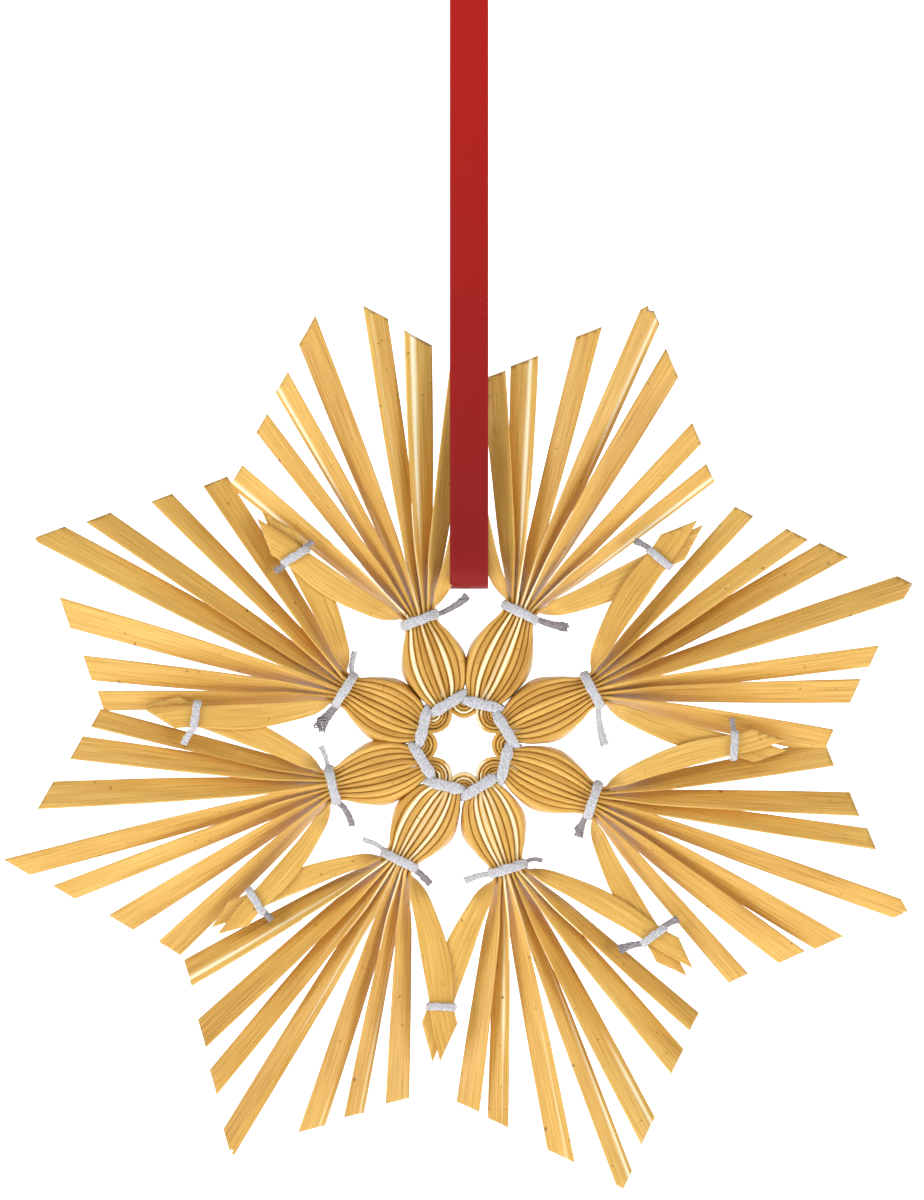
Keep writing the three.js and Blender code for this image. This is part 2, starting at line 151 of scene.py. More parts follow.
# ---- Ribbon ----
# The hanging loop is a six millimetre satin ribbon. Its ends are lapped and sewn on the back leg,
# and its lower fold holds the star between two of its straws.
RIBBON_WIDTH = 6.0
RIBBON_THICKNESS = 0.26
RIBBON_DROP = 100
RIBBON_HALF_GAP = 3.45
RIBBON_LAP = 8.0
RIBBON_SEAM_HEIGHT = -84
RIBBON_SEAM_STEPS = 7
RIBBON_TURN_STEPS = 8
RIBBON_FRONT_STEPS = 16
RIBBON_BACK_STEPS = 13
RIBBON_RINGS = 260
RIBBON_SIDES = 24


def blend(low, high, share):
    return low + (high - low) * share


def rounded(value, power):
    """A sine or cosine raised to a power, with its sign kept: it squares a circle's outline."""
    return math.copysign(abs(value) ** power, value)


def ring_tube(around, rings):
    """A straight tube up +Z, one unit in radius, with a ring at each whole height."""
    tube = bmesh.new()
    bmesh.ops.create_circle(tube, segments=around, radius=1)
    edges = tube.edges[:]
    for height in range(1, rings):
        made = bmesh.ops.extrude_edge_only(tube, edges=edges)["geom"]
        corners = {v for v in made if isinstance(v, bmesh.types.BMVert)}
        edges = [
            e for e in made
            if isinstance(e, bmesh.types.BMEdge) and corners.issuperset(e.verts)
        ]
        bmesh.ops.translate(
            tube, verts=[v for v in made if isinstance(v, bmesh.types.BMVert)], vec=(0, 0, 1)
        )
    bmesh.ops.recalc_face_normals(tube, faces=tube.faces)
    return tube


def lay_tube(tube, rings, section, shift=0):
    """Lay a straight tube along its rings, each a middle with half its width and half its depth.

    `section` gives the place on a ring of the point at an angle round the tube and a number along
    it, and how strongly it carries the painted highlight. The tube's UV map holds the place across,
    and the length along in millimetres plus `shift`.
    """
    uv = tube.loops.layers.uv.new("UVMap")
    # Each corner's painted highlight, which the straw's colour reads to paint in a cream streak.
    painted_highlight = tube.verts.layers.float.new("painted_highlight")
    travelled = [0.0]
    for before, after in zip(rings, rings[1:]):
        travelled.append(travelled[-1] + (after[0] - before[0]).length)
    marks = {}
    for corner in tube.verts:
        number = round(corner.co.z)
        across, deep, corner[painted_highlight] = section(math.atan2(corner.co.y, corner.co.x), number)
        middle, wide, thin = rings[number]
        marks[corner] = (across, travelled[number] + shift)
        corner.co = middle + wide * across + thin * deep
    for face in tube.faces:
        for loop in face.loops:
            loop[uv].uv = marks[loop.vert]
    return travelled[-1]


def close_ends(tube):
    """Close the open ends of a tube."""
    rims = [e for e in tube.edges if e.is_boundary]
    return bmesh.ops.holes_fill(tube, edges=rims, sides=0)["faces"]


def ribbon_line():
    """Points along the ribbon from its seam, down round the fold, up, over and back to the lap."""
    low = RIBBON_HALF_GAP - RIBBON_DROP
    high = -RIBBON_HALF_GAP
    points = []
    for step in range(RIBBON_SEAM_STEPS):
        height = blend(RIBBON_SEAM_HEIGHT, low, step / RIBBON_SEAM_STEPS)
        points.append(Vector((0, RIBBON_HALF_GAP, height)))
    for step in range(RIBBON_TURN_STEPS + 1):
        turn = math.pi * step / RIBBON_TURN_STEPS
        reach = Vector((0, math.cos(turn), -math.sin(turn))) * RIBBON_HALF_GAP
        points.append(Vector((0, 0, low)) + reach)
    for step in range(1, RIBBON_FRONT_STEPS):
        height = blend(low, high, step / RIBBON_FRONT_STEPS)
        points.append(Vector((0, -RIBBON_HALF_GAP, height)))
    for step in range(RIBBON_TURN_STEPS + 1):
        turn = math.pi * step / RIBBON_TURN_STEPS
        reach = Vector((0, -math.cos(turn), math.sin(turn))) * RIBBON_HALF_GAP
        points.append(Vector((0, 0, high)) + reach)
    # From three quarters of the way down the back leg the lap moves aside of the seam's end.
    lap_start = 0.75
    lap_move = 0.12
    lap_aside = RIBBON_THICKNESS * 1.15
    for step in range(1, RIBBON_BACK_STEPS + 1):
        part = step / RIBBON_BACK_STEPS
        aside = lap_aside * min(1, max(0, (part - lap_start) / lap_move))
        height = blend(high, RIBBON_SEAM_HEIGHT - RIBBON_LAP, part)
        points.append(Vector((0, RIBBON_HALF_GAP + aside, height)))
    return points


def smooth_line(points, count):
    """Evenly spaced points on a smooth curve through the given ones, which may hold any numbers."""
    spans = [max(1e-6, (b[0] - a[0]).length) for a, b in zip(points, points[1:])]
    ends = [0.0]
    for span in spans:
        ends.append(ends[-1] + span)
    flat = [[*p[0], *p[1:]] for p in points]
    last = len(points) - 1

    def slope(index, part):
        if index in (0, last):
            near = min(index, last - 1)
            return (flat[near + 1][part] - flat[near][part]) / spans[near]
        left, right = spans[index - 1], spans[index]
        before = (flat[index][part] - flat[index - 1][part]) / left
        after = (flat[index + 1][part] - flat[index][part]) / right
        return (before * right + after * left) / (left + right)

    slopes = [[slope(index, part) for part in range(len(flat[0]))] for index in range(last + 1)]
    line = []
    index = 0
    for number in range(count):
        place = ends[-1] * number / (count - 1)
        while index < last - 1 and place > ends[index + 1]:
            index += 1
        span = spans[index]
        t = (place - ends[index]) / span
        weights = (
            2 * t ** 3 - 3 * t ** 2 + 1,
            (t ** 3 - 2 * t ** 2 + t) * span,
            3 * t ** 2 - 2 * t ** 3,
            (t ** 3 - t ** 2) * span,
        )
        sources = (flat[index], slopes[index], flat[index + 1], slopes[index + 1])
        values = [
            sum(weight * source[part] for weight, source in zip(weights, sources))
            for part in range(len(flat[0]))
        ]
        line.append((Vector(values[:3]), *values[3:]))
    return line


satin, satin_nodes, satin_link, satin_shader = new_material("red_satin")
satin_place = satin_nodes.new("ShaderNodeTexCoord")
satin_stretch = satin_nodes.new("ShaderNodeMapping")
satin_stretch.inputs["Scale"].default_value = (3, 0.02, 1)
satin_grain = satin_nodes.new("ShaderNodeTexNoise")
satin_grain.inputs["Scale"].default_value = 3
satin_grain.inputs["Detail"].default_value = 4
satin_tones = colour_steps(
    satin_nodes, (0.3, (0.21, 0.006, 0.006)), (0.7, (0.27, 0.009, 0.008))
)
# Painted light: the ribbon's colour is painted brighter towards its top, where more light falls on
# it.
satin_height = satin_nodes.new("ShaderNodeSeparateXYZ")
satin_lit_top_ramp = satin_nodes.new("ShaderNodeMapRange")
satin_lit_top_ramp.inputs["From Min"].default_value = -0.09
satin_lit_top_ramp.inputs["From Max"].default_value = -0.02
satin_painted_light = satin_nodes.new("ShaderNodeMix")
satin_painted_light.data_type = "RGBA"
satin_painted_light.inputs["B"].default_value = (0.40, 0.006, 0.003, 1)
satin_ribs = satin_nodes.new("ShaderNodeTexWave")
satin_ribs.bands_direction = "Y"
satin_ribs.inputs["Scale"].default_value = 1.2
satin_bump = satin_nodes.new("ShaderNodeBump")
satin_bump.inputs["Strength"].default_value = 0.15
satin_bump.inputs["Distance"].default_value = 0.00005
satin_link(satin_place.outputs["UV"], satin_stretch.inputs["Vector"])
satin_link(satin_stretch.outputs["Vector"], satin_grain.inputs["Vector"])
satin_link(satin_grain.outputs["Fac"], satin_tones.inputs["Fac"])
satin_link(satin_place.outputs["Object"], satin_height.inputs["Vector"])
satin_link(satin_height.outputs["Z"], satin_lit_top_ramp.inputs["Value"])
satin_link(satin_lit_top_ramp.outputs["Result"], satin_painted_light.inputs["Factor"])
satin_link(satin_tones.outputs["Color"], satin_painted_light.inputs["A"])
satin_link(satin_painted_light.outputs["Result"], satin_shader.inputs["Base Color"])
satin_link(satin_place.outputs["UV"], satin_ribs.inputs["Vector"])
satin_link(satin_ribs.outputs["Fac"], satin_bump.inputs["Height"])
satin_link(satin_bump.outputs["Normal"], satin_shader.inputs["Normal"])
satin_shader.inputs["Roughness"].default_value = 0.5
satin_shader.inputs["Specular IOR Level"].default_value = 0.2

ribbon_points = ribbon_line()
ribbon_course = smooth_line([(point,) for point in ribbon_points], RIBBON_RINGS)
ribbon_rings = []
for number, (middle,) in enumerate(ribbon_course):
    before = ribbon_course[max(0, number - 1)][0]
    after = ribbon_course[min(len(ribbon_course) - 1, number + 1)][0]
    run = (after - before).normalized()
    ribbon_rings.append((
        middle * MM,
        Vector((1, 0, 0)) * RIBBON_WIDTH / 2 * MM,
        run.cross(Vector((1, 0, 0))) * RIBBON_THICKNESS / 2 * MM,
    ))


def woven_section(angle, number):
    """A flat band with round edges, a little thicker at its selvedges."""
    across = rounded(math.cos(angle), 0.45)
    selvedge = 0.85 + 0.25 * abs(across) ** 12
    return across, rounded(math.sin(angle), 0.5) * selvedge, 0


ribbon_tube = ring_tube(RIBBON_SIDES, len(ribbon_rings))
lay_tube(ribbon_tube, ribbon_rings, woven_section)
close_ends(ribbon_tube)
ribbon = finished("satin_ribbon", ribbon_tube, satin)
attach(ribbon, "root")
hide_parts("ribbon")


# ---- Straws ----
# Thirty-six straws, split off a sheaf, soaked and pressed flat. Each is bent double beside the
# open middle, runs out through a petal on either side and ends in a fan, cut off on a slant.
STAR_PLACE = Vector((-0.8, 0, -123.8))
FIRST_FAN = 20
FAN_STEP = 45
POINT_RADIUS = 74.2
POINT_SLOPE = 42.5
STRAW_WIDTH = 3.9
WIDTH_SPREAD = 0.55
RING_RADIUS = 7.0
RING_DROP = 0.6
BEND_RADIUS = 0.6
BEND_STEP = 0.5
BEND_THICKNESS = 0.53
RIM_THICKNESS = 0.85
BEND_WIDTH = 0.86
BEND_TILT = 9
TILT_SPREAD = 5
BEND_STATIONS = (1 / 3, 2 / 3, 1)
OUTER_SLOT = 4
KNOT_PITCH = 0.6
BELLY_SWELL = 0.5
PETAL_LEAN = 3.5
PETAL_STATIONS = (0.22, 0.5, 0.8, 1)
PINCH_SLOTS = OUTER_SLOT + 1.2
FAN_SPREAD = 9.6
SWAY = 1.8
SPREAD_LENGTH = 34
CROWDED_WIDTH = 1.9
PACKED = 1.02
FAN_OVERLAP = 1.25
TURN_LENGTH = 0.95
FAN_THICKNESS = 0.42
FAN_STATIONS = (0, 1.5, 3, 5.2, 8, 12, 17, 24)
TIED_DEPTHS = (-2.0, -1.15)
TIED_RISE = -2.1
TIED_END = 6.1
TIED_END_CUT = 52
TIED_BOW = 1.0
TIED_STATIONS = (0, 0.08, 0.2, 0.35, 0.55, 0.75, 0.95, 1.05)
TIED_KNOT_WIDTH = 0.5
TIED_PINCH = 0.88
LAID_SHARE = 0.2
BACK = Vector((0, 1, 0))
OVERRUN = 3.0


def heading(degrees):
    """A direction in the plane of the star, counted from +X towards +Z."""
    return Vector((math.cos(math.radians(degrees)), 0, math.sin(math.radians(degrees))))


def quarter_turn(direction):
    return Vector((-direction.z, 0, direction.x))


def heading_of(direction):
    return math.degrees(math.atan2(direction.z, direction.x))


RING_MIDDLE = Vector((0, 0, -RING_DROP))


class Fan:
    """One of the eight fans. Its tie has slipped, and its middle straws aim and its outline is cut,
    by so many degrees from an even spacing. `crease` is how sharply its straws are creased along
    their left (1) or right (-1) side, as one looks out along them.
    """

    def __init__(self, index, name, slip, knot, aim, cut, crease):
        even = FIRST_FAN + FAN_STEP * index
        self.index = index
        self.name = name
        self.crease = crease
        self.knot = heading(even + slip) * knot
        self.aim = heading(even + aim) * POINT_RADIUS
        self.point = heading(even + cut) * POINT_RADIUS
        self.root = RING_MIDDLE + heading(FAN_STEP * (index + 0.5)) * RING_RADIUS
        self.petal = (self.knot - self.root).normalized()
        self.length = (self.knot - self.root).length - TURN_LENGTH
        self.axis = heading_of(self.aim - self.knot)
        self.across = quarter_turn(self.petal)
        self.side_ties = {}


fans = [
    Fan(0, "right_upper", 1.7, 21.5, -0.7, -0.7, 0.3),
    Fan(1, "top_right", 1.5, 21.9, 1.8, 1.8, -1),
    Fan(2, "top_left", 0, 20.1, 0, -3.6, 1),
    Fan(3, "left_upper", 1.8, 20.2, -0.4, -0.4, -0.3),
    Fan(4, "left_lower", -1.4, 21.6, -5.5, -5.5, 0.3),
    Fan(5, "bottom_left", -3.3, 21.1, -4.4, -4.4, 1),
    Fan(6, "bottom_right", -0.9, 21.0, -0.4, -0.4, 1),
    Fan(7, "right_lower", 0.4, 22.1, 4.0, 4.0, 0.3),
]


class Group:
    """Straws that bend round between one fan and the next, with the radius of their side tie."""

    def __init__(self, index, name, straws, tie):
        self.index = index
        self.name = name
        self.straws = straws
        self.first = fans[index]
        self.second = fans[(index + 1) % len(fans)]
        self.out = heading(FAN_STEP * (index + 1))
        self.centre = RING_MIDDLE + self.out * RING_RADIUS
        self.side_tie = (self.first.aim + self.second.aim).normalized() * tie
        self.tilt = math.radians(BEND_TILT + TILT_SPREAD * math.sin(2.6 * index))
        self.first.side_ties[1] = self.side_tie
        self.second.side_ties[-1] = self.side_tie


groups = [
    Group(0, "upper_right", 5, 41.7),
    Group(1, "top", 4, 41.8),
    Group(2, "upper_left", 5, 39.0),
    Group(3, "left", 4, 42.0),
    Group(4, "lower_left", 5, 40.9),
    Group(5, "bottom", 4, 41.5),
    Group(6, "lower_right", 5, 42.3),
    Group(7, "right", 4, 42.1),
]


def stray(fan, slot):
    """An uneven number from -1 to 1, for a strand's direction."""
    return math.sin(2.7 * fan.index + 4.1 * slot)


def scatter(group, nest):
    """An uneven number from -1 to 1, for a straw's width."""
    return math.sin(2.3 * group.index + 1.7 * nest + 2.4)


def fan_start(fan, slot):
    """Where a strand comes out of its petal tie."""
    return fan.knot + fan.petal * TURN_LENGTH + fan.across * slot * KNOT_PITCH


def course(fan, slot):
    """The heading that a strand takes beyond its petal tie."""
    if abs(slot) == OUTER_SLOT:
        return heading_of(fan.side_ties[int(math.copysign(1, slot))] - fan_start(fan, slot))
    return fan.axis + slot * FAN_SPREAD - SWAY * stray(fan, slot)


def fan_steepness(fan, run, wide, thin):
    """How steeply a strand stands: on edge where they crowd, laid flat as the fan opens."""
    pitch = KNOT_PITCH + math.radians(FAN_SPREAD) * run
    opened = blend(CROWDED_WIDTH, wide, min(1, run / SPREAD_LENGTH) ** 0.8)
    shown = min(pitch * FAN_OVERLAP, opened)
    return math.acos(min(0.99, max(0, (shown - thin / 2) / wide)))


def gathered(slot, width):
    """A strand's width under a round tie, where the outer ones have less room."""
    return width * math.sqrt(1 - (slot / PINCH_SLOTS) ** 2)


def petal_station(fan, slot, width, portion):
    """A strand in its petal, from the ring (0) to the tie (1)."""
    swell = max(0, math.sin(math.pi * portion)) ** 1.2
    pitch = KNOT_PITCH + BELLY_SWELL * swell
    return (
        fan.root + fan.petal * fan.length * portion + fan.across * slot * pitch,
        blend(width * 0.9, gathered(slot, width), portion ** 3),
        pitch * PACKED,
        math.radians(90 - PETAL_LEAN * abs(slot) * swell ** 2),
    )


def reach_outline(fan, start, direction):
    """How far a line runs to the pointed outline that a fan is cut to."""
    middle = fan.point.normalized()
    side = quarter_turn(middle)
    slope = math.tan(math.radians(POINT_SLOPE))
    reaches = []
    for hand in (1, -1):
        gain = hand * direction.dot(side) + slope * direction.dot(middle)
        reaches.append((slope * (POINT_RADIUS - start.dot(middle)) - hand * start.dot(side)) / gain)
    return min(reaches)


def free_straw(fan, slot, width):
    """A strand from its petal tie to beyond the outline of the fan, where it is cut later."""
    direction = heading(course(fan, slot))
    start = fan_start(fan, slot)
    length = reach_outline(fan, start, direction)
    stations = []
    for run in (*FAN_STATIONS, length + OVERRUN):
        wide = blend(gathered(slot, width), width, min(1, run / 6))
        thin = blend(KNOT_PITCH * PACKED, FAN_THICKNESS, min(1, run / 8))
        stations.append((start + direction * run, wide, thin, fan_steepness(fan, run, wide, thin)))
    return stations


def tied_straw(fan, group, slot, width):
    """The innermost straw's end crosses its other end between two fans and goes on past the tie."""
    hand = math.copysign(1, slot)
    start = fan_start(fan, slot)
    direction = heading(course(fan, slot))
    side = quarter_turn(direction)
    span = (group.side_tie - start).length
    depth = TIED_DEPTHS[0] if hand > 0 else TIED_DEPTHS[1]
    stations = []
    for portion in TIED_STATIONS:
        run = portion * span
        bow = hand * TIED_BOW * max(0, math.sin(math.pi * min(1, portion))) ** 0.7
        wide = width * blend(TIED_KNOT_WIDTH, 1, min(1, run / 12))
        wide *= TIED_PINCH if portion > 0.9 else 1
        thin = blend(KNOT_PITCH * PACKED, FAN_THICKNESS, min(1, run / 5))
        laid = min(1, portion / LAID_SHARE)
        deep = blend(TIED_RISE, depth, min(1, portion / 0.9)) * laid
        stations.append((
            start + direction * run + side * bow + BACK * deep,
            wide,
            thin,
            math.pi / 2 * (1 - laid),
        ))
    stations.append((
        group.side_tie + direction * (TIED_END + OVERRUN) + BACK * depth, width, FAN_THICKNESS, 0
    ))
    return stations


def bend_of(group, nest):
    """The radius and the thickness of a straw's bend: the last one rims the open middle."""
    radius = BEND_RADIUS + BEND_STEP * nest
    if nest < group.straws - 1:
        return radius, BEND_THICKNESS
    return radius + (RIM_THICKNESS - BEND_THICKNESS) / 2, RIM_THICKNESS


def half_straw(group, fan, nest, width):
    """One half of a straw, from beside the middle of its bend to its end in a fan."""
    hand = 1 if fan is group.first else -1
    slot = hand * (OUTER_SLOT - nest)
    radius, thickness = bend_of(group, nest)
    last_angle = 90 - 4 * nest
    stations = []
    for portion in BEND_STATIONS:
        angle = math.radians(last_angle * portion)
        aside = quarter_turn(group.out) * -hand * radius * math.sin(angle)
        stations.append((
            group.centre - group.out * radius * math.cos(angle) + aside,
            width * BEND_WIDTH,
            blend(thickness, KNOT_PITCH, portion),
            math.pi / 2 - group.tilt * (1 - portion / 2),
        ))
    for portion in PETAL_STATIONS:
        stations.append(petal_station(fan, slot, width, portion))
    if nest == 0:
        return stations + tied_straw(fan, group, slot, width)
    return stations + free_straw(fan, slot, width)


def straw_rings(group, nest):
    """The rings of one straw from its first fan round the bend to its second, in millimetres, and
    how flat it lies at each.
    """
    width = STRAW_WIDTH + WIDTH_SPREAD * scatter(group, nest)
    radius, thickness = bend_of(group, nest)
    apex = (
        group.centre - group.out * radius, width * BEND_WIDTH, thickness, math.pi / 2 - group.tilt
    )
    stations = half_straw(group, group.first, nest, width)[::-1]
    stations += [apex] + half_straw(group, group.second, nest, width)
    line = smooth_line(stations, STRAW_RINGS)
    rings = []
    flatness = []
    for number, (middle, wide, thin, steep) in enumerate(line):
        before = line[max(0, number - 1)][0]
        after = line[min(len(line) - 1, number + 1)][0]
        run = after - before
        run.y = 0
        inside = -quarter_turn(run.normalized())
        rings.append((
            STAR_PLACE + middle,
            (inside * math.cos(steep) + BACK * math.sin(steep)) * wide / 2,
            (BACK * math.cos(steep) - inside * math.sin(steep)) * thin / 2,
        ))
        flatness.append(math.cos(steep) ** 2)
    return rings, flatness


STALK_LENGTH = 400
GROUP_STALKS = 7
STRAW_RINGS = 170
STRAW_SIDES = 18
SLIT_DEPTH = 0.12
SLIT_WALL = 0.12
FACE_HOLLOW = 0.25
CREASE_PLACE = 0.4
CREASE_DROP = 2.3
# How far out beside the crease the painted cream highlight reaches.
CREASE_PAINTED_HIGHLIGHT = 0.6
TIED_CREASE = 0.3
FRONT_RIDGE = -0.99
CUT_LEAN = 0.3
END_RINGS = 4


def pressed_section(angle, flat, crease):
    """A pressed stalk: rounded where it is crowded on edge, and where it lies flat, hollow between
    its folded edges, with one side creased back. Beside the crease, and along its front ridge
    where it stands on edge, it carries a painted highlight: a cream streak in its colour.
    """
    across = rounded(math.cos(angle), 0.6)
    edge = 1 - FACE_HOLLOW * flat * (1 - abs(across) ** 5)
    deep = rounded(math.sin(angle), 0.55) * edge
    beyond = max(0, math.copysign(across, across * crease) - CREASE_PLACE) / (1 - CREASE_PLACE)
    # The painted highlight: cream painted beside the crease, and along the front ridge of strands
    # on edge.
    painted_highlight = 0
    if 0 < beyond < CREASE_PAINTED_HIGHLIGHT:
        painted_highlight = abs(crease) * flat ** 0.3
    if across < FRONT_RIDGE and flat < 0.5:
        painted_highlight = abs(crease)
    return across, deep + CREASE_DROP * abs(crease) * flat * beyond, painted_highlight


def cut_end(straw, faces, middle, normal):
    """Cut a straw's end off along the plane through `middle` that faces `normal`."""
    geometry = list(dict.fromkeys(v for f in faces for v in f.verts))
    geometry += list(dict.fromkeys(e for f in faces for e in f.edges)) + faces
    bmesh.ops.bisect_plane(
        straw, geom=geometry, dist=1e-6, plane_co=middle, plane_no=normal, clear_outer=True
    )


def outline_planes(fan):
    """The two scissor cuts that point a fan."""
    middle = fan.point.normalized()
    side = quarter_turn(middle)
    slope = math.tan(math.radians(POINT_SLOPE))
    return [
        (STAR_PLACE + fan.point, (middle * slope + side * hand - BACK * CUT_LEAN).normalized())
        for hand in (1, -1)
    ]


def tied_cut(fan, group, slot):
    """The slanting cut across the end of a tied straw."""
    hand = math.copysign(1, slot)
    direction = heading(course(fan, slot))
    side = quarter_turn(direction)
    slant = math.tan(math.radians(TIED_END_CUT))
    normal = (direction + side * hand * slant - BACK * CUT_LEAN).normalized()
    return [(STAR_PLACE + group.side_tie + direction * TIED_END, normal)]


def hollow_ends(straw, rings):
    """Close the cut ends, each sunk a little so that it shows the slit of the pressed stalk."""
    runs = [
        (rings[END_RINGS][0] - rings[0][0]).normalized(),
        (rings[-1 - END_RINGS][0] - rings[-1][0]).normalized(),
    ]
    for cap in close_ends(straw):
        bmesh.ops.recalc_face_normals(straw, faces=straw.faces)
        inwards = min(runs, key=cap.normal.dot)
        rim = bmesh.ops.inset_region(
            straw, faces=[cap], thickness=SLIT_WALL, use_even_offset=False
        )["faces"]
        bmesh.ops.translate(straw, verts=cap.verts, vec=inwards * SLIT_DEPTH)
        for face in rim + [cap]:
            face.material_index = 1


straw_stuff, straw_nodes, straw_link, straw_shader = new_material("pressed_straw")
straw_place = straw_nodes.new("ShaderNodeTexCoord")


def straw_grain(across, along, scale, detail):
    """Noise stretched along the stalk."""
    stretch = straw_nodes.new("ShaderNodeMapping")
    stretch.inputs["Scale"].default_value = (across, along, 1)
    grain = straw_nodes.new("ShaderNodeTexNoise")
    grain.inputs["Scale"].default_value = scale
    grain.inputs["Detail"].default_value = detail
    straw_link(straw_place.outputs["UV"], stretch.inputs["Vector"])
    straw_link(stretch.outputs["Vector"], grain.inputs["Vector"])
    return grain


straw_tone = straw_grain(0.15, 0.012, 1.6, 2)
straw_fibre = straw_grain(2.6, 0.03, 3, 4)
straw_speck = straw_grain(1.2, 0.6, 1.5, 3)
straw_colours = colour_steps(
    straw_nodes,
    (0.3, (0.40, 0.185, 0.027)),
    (0.43, (0.62, 0.335, 0.064)),
    (0.57, (0.77, 0.46, 0.105)),
    (0.74, (0.90, 0.61, 0.19)),
)
straw_sum = straw_nodes.new("ShaderNodeMix")
straw_sum.inputs["Factor"].default_value = 0.55
straw_link(straw_tone.outputs["Fac"], straw_sum.inputs["A"])
straw_link(straw_fibre.outputs["Fac"], straw_sum.inputs["B"])
straw_link(straw_sum.outputs["Result"], straw_colours.inputs["Fac"])
straw_freckle = straw_nodes.new("ShaderNodeMapRange")
straw_freckle.inputs["From Min"].default_value = 0.68
straw_freckle.inputs["From Max"].default_value = 0.76
straw_link(straw_speck.outputs["Fac"], straw_freckle.inputs["Value"])
# A painted highlight: cream mixed into the straw's colour where the painted highlight attribute is
# set, in patches along the grain.
straw_highlight_mask = straw_nodes.new("ShaderNodeAttribute")
straw_highlight_mask.attribute_name = "painted_highlight"
straw_highlight_patches = straw_nodes.new("ShaderNodeMapRange")
straw_highlight_patches.inputs["From Min"].default_value = 0.32
straw_highlight_patches.inputs["From Max"].default_value = 0.56
straw_highlight_amount = straw_nodes.new("ShaderNodeMath")
straw_highlight_amount.operation = "MULTIPLY"
straw_highlight_edge = straw_nodes.new("ShaderNodeMapRange")
straw_highlight_edge.inputs["From Min"].default_value = 0.3
straw_highlight_edge.inputs["From Max"].default_value = 0.7
straw_link(straw_tone.outputs["Fac"], straw_highlight_patches.inputs["Value"])
straw_link(straw_highlight_patches.outputs["Result"], straw_highlight_amount.inputs[0])
straw_link(straw_highlight_mask.outputs["Fac"], straw_highlight_amount.inputs[1])
straw_link(straw_highlight_amount.outputs["Value"], straw_highlight_edge.inputs["Value"])
straw_painted_highlight = straw_nodes.new("ShaderNodeMix")
straw_painted_highlight.data_type = "RGBA"
straw_painted_highlight.inputs["B"].default_value = (1.0, 0.9, 0.6, 1)
straw_link(straw_highlight_edge.outputs["Result"], straw_painted_highlight.inputs["Factor"])
straw_link(straw_colours.outputs["Color"], straw_painted_highlight.inputs["A"])
straw_dark = straw_nodes.new("ShaderNodeMix")
straw_dark.data_type = "RGBA"
straw_dark.inputs["B"].default_value = (0.22, 0.10, 0.03, 1)
straw_link(straw_freckle.outputs["Result"], straw_dark.inputs["Factor"])
straw_link(straw_painted_highlight.outputs["Result"], straw_dark.inputs["A"])
straw_link(straw_dark.outputs["Result"], straw_shader.inputs["Base Color"])
straw_bump = straw_nodes.new("ShaderNodeBump")
straw_bump.inputs["Strength"].default_value = 0.7
straw_bump.inputs["Distance"].default_value = 0.00012
straw_link(straw_fibre.outputs["Fac"], straw_bump.inputs["Height"])
straw_link(straw_bump.outputs["Normal"], straw_shader.inputs["Normal"])
straw_shader.inputs["Roughness"].default_value = 0.38
straw_shader.inputs["Specular IOR Level"].default_value = 0.4

cut_stuff = straw_stuff.copy()
cut_stuff.name = "cut_straw"
cut_ramp = next(n for n in cut_stuff.node_tree.nodes if n.type == "VALTORGB").color_ramp
for element, colour in zip(
    cut_ramp.elements,
    ((0.72, 0.50, 0.24), (0.84, 0.64, 0.36), (0.92, 0.76, 0.5), (0.95, 0.82, 0.6)),
):
    element.color = (*colour, 1)

straight_straw = ring_tube(STRAW_SIDES, STRAW_RINGS)
for group in groups:
    for nest in range(group.straws):
        slot = OUTER_SLOT - nest
        straw = straight_straw.copy()
        halves = {True: [], False: []}
        for face in straw.faces:
            halves[face.calc_center_median().z < STRAW_RINGS / 2].append(face)
        rings, flatness = straw_rings(group, nest)
        # The crease's sharpness also sets how strong its painted highlight is.
        sharp = 0.65 + 0.35 * math.sin(3.1 * group.index + 2.3 * nest)
        if nest == 0:
            sharp = TIED_CREASE
        creases = [group.first.crease * sharp] * (STRAW_RINGS // 2)
        creases += [-group.second.crease * sharp] * (STRAW_RINGS - len(creases))
        lay_tube(
            straw, rings,
            lambda angle, number: pressed_section(angle, flatness[number], creases[number]),
            STALK_LENGTH * (GROUP_STALKS * group.index + nest),
        )
        for is_first, fan, hand in ((True, group.first, 1), (False, group.second, -1)):
            cuts = tied_cut(fan, group, hand * slot) if nest == 0 else outline_planes(fan)
            faces = halves[is_first]
            for middle, normal in cuts:
                cut_end(straw, [f for f in faces if f.is_valid], middle, normal)
        hollow_ends(straw, rings)
        bmesh.ops.scale(straw, vec=(MM, MM, MM), verts=straw.verts)
        piece = finished(f"pressed_straw_{group.name}_{nest + 1}", straw, straw_stuff)
        piece.data.materials.append(cut_stuff)
        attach(piece, "root")
        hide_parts(f"straw_{group.name}_{nest + 1}")
straight_straw.free()


# ---- Ring lashing ----
# One soft white cotton yarn holds the petals in a ring. It crosses the front of a petal, dives
# in the next gap, passes behind the petal after it, and so goes round twice.
LASH_IN = 7.0
LASH_OUT = 8.0
LASH_DEPTH = 2.35
LASH_WIDTH = 1.75
LASH_THICKNESS = 0.5
LASH_PINCH = 0.7
LASH_STRANDS = 13
LASH_STRAND_RADIUS = 0.2
LASH_TURNS = 16
LASH_DIP = 0.12
LASH_RINGS = 420
STRAND_SIDES = 6
STRAND_SHIFT = 37
FRAY_SEED = 3

# Without a seed, the vector noise that frays the yarn's ends would start from the clock.
noise.seed_set(FRAY_SEED)

